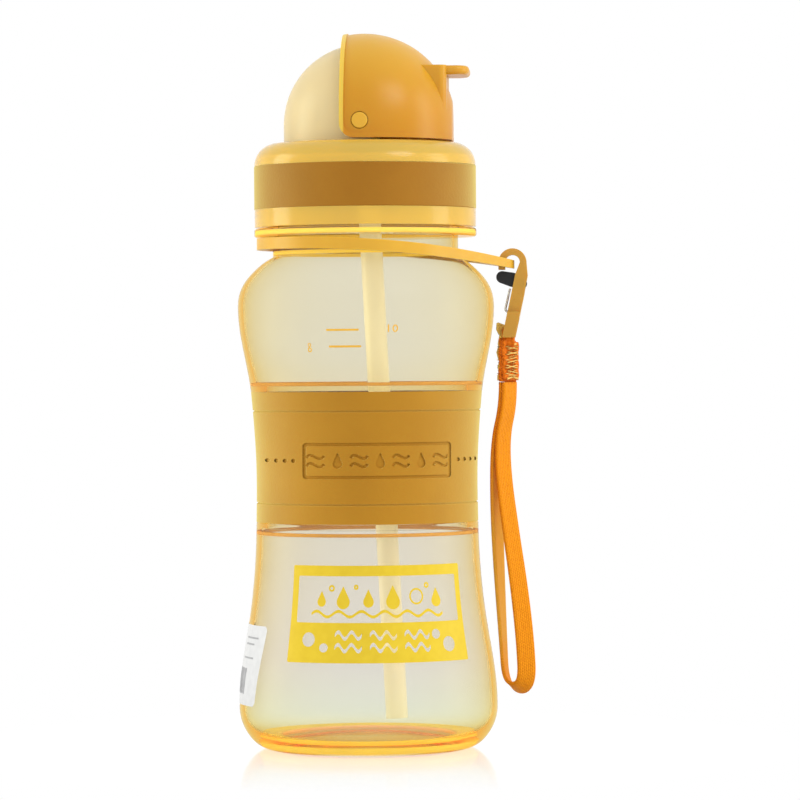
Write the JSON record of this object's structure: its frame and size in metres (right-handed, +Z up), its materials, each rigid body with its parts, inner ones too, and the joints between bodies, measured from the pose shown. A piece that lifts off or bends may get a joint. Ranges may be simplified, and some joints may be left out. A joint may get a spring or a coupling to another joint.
{
  "type": "kids water bottle",
  "caption": "Child's waisted straw bottle with a grip sleeve, a screw lid, a flip-up visor over a folding mouthpiece, and a wrist strap on a sprung hook.",
  "frame": {"origin": "centre of the foot ring, on the plane that the bottle stands on", "axes": "+Z up along the bottle's axis; +X to the mouthpiece, the visor's thumb tab and the hanging strap"},
  "size_m": [0.0805, 0.0702, 0.1943],
  "materials": {
    "bottle_clear": "gloss",
    "sleeve_rubber": "matte",
    "label_paper": "satin",
    "seal_silicone": "matte",
    "lid_plastic": "satin",
    "band_rubber": "matte",
    "visor_plastic": "satin",
    "spout_silicone": "matte",
    "straw_plastic": "satin",
    "loop_plastic": "satin",
    "hook_plastic": "satin",
    "gate_plastic": "satin",
    "pin_steel": "brushed",
    "webbing": "matte"
  },
  "bodies": {
    "bottle": {"bottle_body": "bottle_clear", "grip_sleeve": "sleeve_rubber", "retail_sticker": "label_paper"},
    "seal": {"seal_ring": "seal_silicone"},
    "lid": {"lid_shell": "lid_plastic", "lid_grip_band": "band_rubber", "visor_pins": "lid_plastic", "vent_valve": "spout_silicone", "spout_base": "spout_silicone", "straw_socket": "lid_plastic", "straw": "straw_plastic"},
    "visor": {"visor": "visor_plastic"},
    "spout": {"spout_tube": "spout_silicone"},
    "loop": {"neck_loop": "loop_plastic"},
    "hook": {"hook_body": "hook_plastic", "gate_pin": "hook_plastic", "gate_spring": "pin_steel"},
    "gate": {"gate_lever": "gate_plastic"},
    "strap": {"strap_tack": "webbing", "strap_loop": "webbing"}
  },
  "joints": [
    {"name": "lid_lift", "type": "slide", "parent": "bottle", "child": "seal", "axis": [0, 0, 1], "range_m": [0, 0.005]},
    {"name": "lid_turn", "type": "hinge", "parent": "seal", "child": "lid", "pos_m": [0, 0, 0.1586], "axis": [0, 0, 1], "range_deg": [0, 450]},
    {"name": "visor_flip", "type": "hinge", "parent": "lid", "child": "visor", "pos_m": [0, 0, 0.1695], "axis": [0, -1, 0], "range_deg": [0, 88]},
    {"name": "spout_fold", "type": "hinge", "parent": "lid", "child": "spout", "pos_m": [0.0004, 0, 0.1695], "axis": [0, -1, 0], "range_deg": [0, 53]},
    {"name": "loop_turn", "type": "hinge", "parent": "bottle", "child": "loop", "pos_m": [0, 0, 0.1364], "axis": [0, 0, 1], "continuous": true},
    {"name": "hook_swing", "type": "hinge", "parent": "loop", "child": "hook", "pos_m": [0.03945, 0, 0.1312], "axis": [0, -1, 0], "range_deg": [0, 15]},
    {"name": "gate_press", "type": "hinge", "parent": "hook", "child": "gate", "pos_m": [0.0424, 0, 0.126], "axis": [0, -1, 0], "range_deg": [0, 22], "stiffness_Nm_per_rad": 0.002, "springref_deg": -17.19, "deforming": ["gate_spring"]},
    {"name": "strap_swing", "type": "hinge", "parent": "hook", "child": "strap", "pos_m": [0.0388, 0, 0.1129], "axis": [0, -1, 0], "range_deg": [0, 25]}
  ],
  "couplings": [
    {"joint": "lid_lift", "follows": "lid_turn", "m_per_rad": 0.00063662},
    {"joint": "spout_fold", "follows": "visor_flip", "ratio": 0.6}
  ]
}
